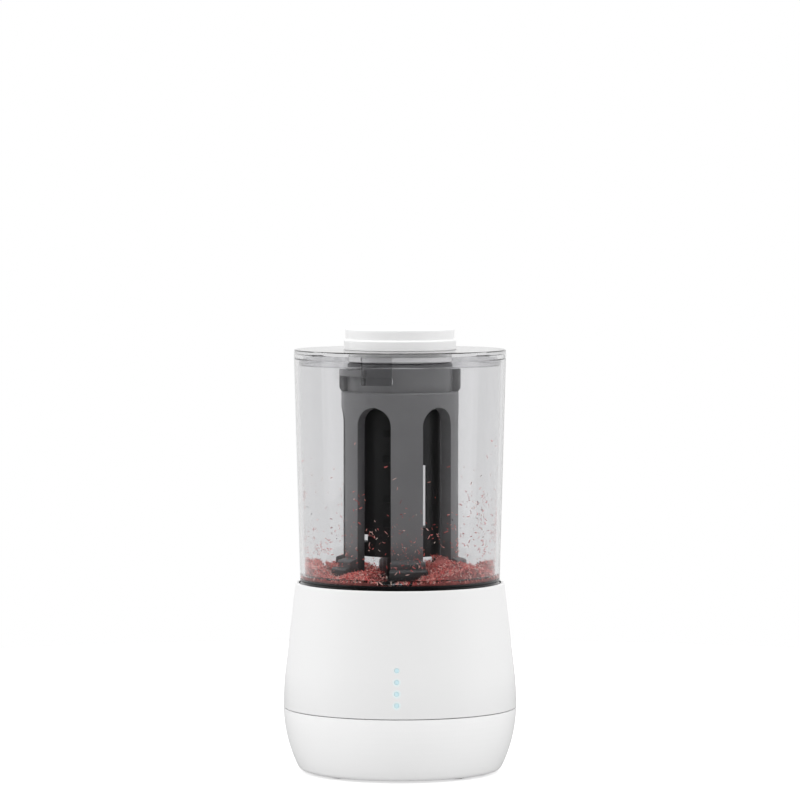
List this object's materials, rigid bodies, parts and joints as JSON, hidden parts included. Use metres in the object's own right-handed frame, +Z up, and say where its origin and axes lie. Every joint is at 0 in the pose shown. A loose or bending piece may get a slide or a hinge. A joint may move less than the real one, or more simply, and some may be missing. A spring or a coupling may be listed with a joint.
{
  "type": "electric pencil sharpener",
  "caption": "Cordless desktop pencil sharpener: rounded motor base, clear lift-off shavings bin round a slotted cage, planetary helical cutter and a top pencil port.",
  "frame": {"origin": "on the table plane, under the middle of the base", "axes": "+Z up along the pencil's axis, -Y towards the front with the battery lights, +X to the right seen from the front"},
  "size_m": [0.0942, 0.0942, 0.1796],
  "materials": {
    "white_abs": "satin white moulded shell",
    "clear_plastic": "clear polished, faint grey tint",
    "grey_abs": "satin mid grey moulding",
    "black_abs": "satin black moulding",
    "black_gloss": "glossy black moulding",
    "foot_rubber": "fine matt",
    "screw_steel": "zinc plated",
    "bearing_steel": "ground",
    "cutter_steel": "milled and hardened",
    "gear_plastic": "natural acetal",
    "brass": "turned",
    "plate_metal": "stamped",
    "can_steel": "nickel plated drawn can",
    "ferrite": "sintered",
    "copper": "enamelled winding wire and laminations",
    "cell_wrap": "shrink wrap",
    "tab_metal": "nickel strip",
    "board_green": "solder mask",
    "chip_black": "moulded epoxy",
    "light_lens": "clear light pipe",
    "led_body": "phosphor",
    "lead_red": "silicone insulation",
    "lead_black": "silicone insulation",
    "lead_white": "silicone insulation",
    "roller_rubber": "ribbed",
    "red_plastic": "moulded"
  },
  "bodies": {
    "base": {"lower_shell": "white_abs", "upper_shell": "white_abs", "rubber_feet": "foot_rubber", "case_screws": "screw_steel", "deck_plate": "black_abs", "deck_screws": "screw_steel", "cutter_cage": "grey_abs", "cage_screws": "screw_steel", "ring_gear": "gear_plastic", "upper_bush": "gear_plastic", "gear_plate": "plate_metal", "plate_screws": "screw_steel", "idler_axle": "bearing_steel", "lower_bush": "brass", "bearing_outer_race": "bearing_steel", "bearing_balls": "bearing_steel", "motor_can": "can_steel", "motor_magnets": "ferrite", "motor_endcap": "black_abs", "motor_terminals": "brass", "battery_cell": "cell_wrap", "battery_cradle": "black_abs", "battery_contacts": "tab_metal", "main_board": "board_green", "board_parts": "chip_black", "status_lights": "led_body", "light_guides": "light_lens", "charge_board": "board_green", "charge_socket": "can_steel", "start_switch": "chip_black", "switch_bracket": "tab_metal", "motor_leads": "lead_red", "battery_leads": "lead_black", "charge_leads": "lead_white"},
    "rotor": {"cutter_carrier": "black_abs", "output_shaft": "bearing_steel", "drive_pin": "bearing_steel", "output_gear": "gear_plastic", "bearing_inner_race": "bearing_steel", "cutter_axle": "bearing_steel", "feed_head": "black_abs", "feed_head_cap": "black_abs", "roller_axles": "bearing_steel", "head_screws": "screw_steel"},
    "cutter": {"helical_cutter": "cutter_steel", "cutter_pinion": "cutter_steel"},
    "idler": {"idler_gear": "gear_plastic"},
    "motor_rotor": {"motor_armature": "copper", "motor_pinion": "brass"},
    "roller_1": {"feed_roller_1": "roller_rubber"},
    "roller_2": {"feed_roller_2": "roller_rubber"},
    "roller_3": {"feed_roller_3": "roller_rubber"},
    "foot_ring": {"bin_foot_ring": "black_gloss"},
    "bin": {"shavings_bin": "clear_plastic"},
    "lid": {"bin_lid": "clear_plastic", "port_ring": "white_abs", "pencil_guide": "white_abs"},
    "rod": {"sensing_rod": "bearing_steel"},
    "lever": {"switch_lever": "tab_metal"},
    "plunger": {"switch_plunger": "red_plastic"}
  },
  "joints": [
    {"name": "rotor_spin", "type": "hinge", "parent": "base", "child": "rotor", "pos_m": [0, 0, 0.09], "axis": [0, 0, 1], "continuous": true},
    {"name": "cutter_spin", "type": "hinge", "parent": "rotor", "child": "cutter", "pos_m": [0, 0.0105, 0.1521], "axis": [0, 0.1599, 0.9871], "continuous": true},
    {"name": "idler_spin", "type": "hinge", "parent": "base", "child": "idler", "pos_m": [0.0216, 0, 0.064], "axis": [0, 0, 1], "continuous": true},
    {"name": "motor_spin", "type": "hinge", "parent": "base", "child": "motor_rotor", "pos_m": [0.01514, 0.01776, 0.045], "axis": [0, 0, 1], "continuous": true},
    {"name": "feed_roller_1_spin", "type": "hinge", "parent": "rotor", "child": "roller_1", "pos_m": [0.00758, 0.00438, 0.165], "axis": [0.0436, -0.0755, 0.9962], "continuous": true},
    {"name": "feed_roller_2_spin", "type": "hinge", "parent": "rotor", "child": "roller_2", "pos_m": [-0.00758, 0.00438, 0.165], "axis": [0.0436, 0.0755, 0.9962], "continuous": true},
    {"name": "feed_roller_3_spin", "type": "hinge", "parent": "rotor", "child": "roller_3", "pos_m": [0, -0.00875, 0.165], "axis": [-0.0872, 0, 0.9962], "continuous": true},
    {"name": "bin_lift", "type": "slide", "parent": "base", "child": "foot_ring", "axis": [0, 0, 1], "range_m": [0, 0.105]},
    {"name": "bin_twist", "type": "hinge", "parent": "foot_ring", "child": "bin", "pos_m": [0, 0, 0.078], "axis": [0, 0, -1], "range_deg": [0, 50]},
    {"name": "lid_lift", "type": "slide", "parent": "bin", "child": "lid", "axis": [0, 0, 1], "range_m": [0, 0.03]},
    {"name": "sensing_rod_slide", "type": "slide", "parent": "base", "child": "rod", "axis": [0, 0, 1], "range_m": [-0.0025, 0], "stiffness_N_per_m": 200, "springref_m": 0.002},
    {"name": "switch_lever_tilt", "type": "hinge", "parent": "base", "child": "lever", "pos_m": [-0.012, 0, 0.0512], "axis": [0, 1, 0], "range_deg": [0, 11.2]},
    {"name": "switch_plunger_slide", "type": "slide", "parent": "base", "child": "plunger", "axis": [0, 0, 1], "range_m": [-0.0014, 0]}
  ],
  "couplings": [
    {"joint": "idler_spin", "follows": "rotor_spin", "ratio": -3},
    {"joint": "motor_spin", "follows": "rotor_spin", "ratio": 10.5},
    {"joint": "cutter_spin", "follows": "rotor_spin", "ratio": -3.1},
    {"joint": "switch_lever_tilt", "follows": "sensing_rod_slide", "rad_per_m": -77.4},
    {"joint": "switch_plunger_slide", "follows": "sensing_rod_slide", "ratio": 0.54}
  ]
}
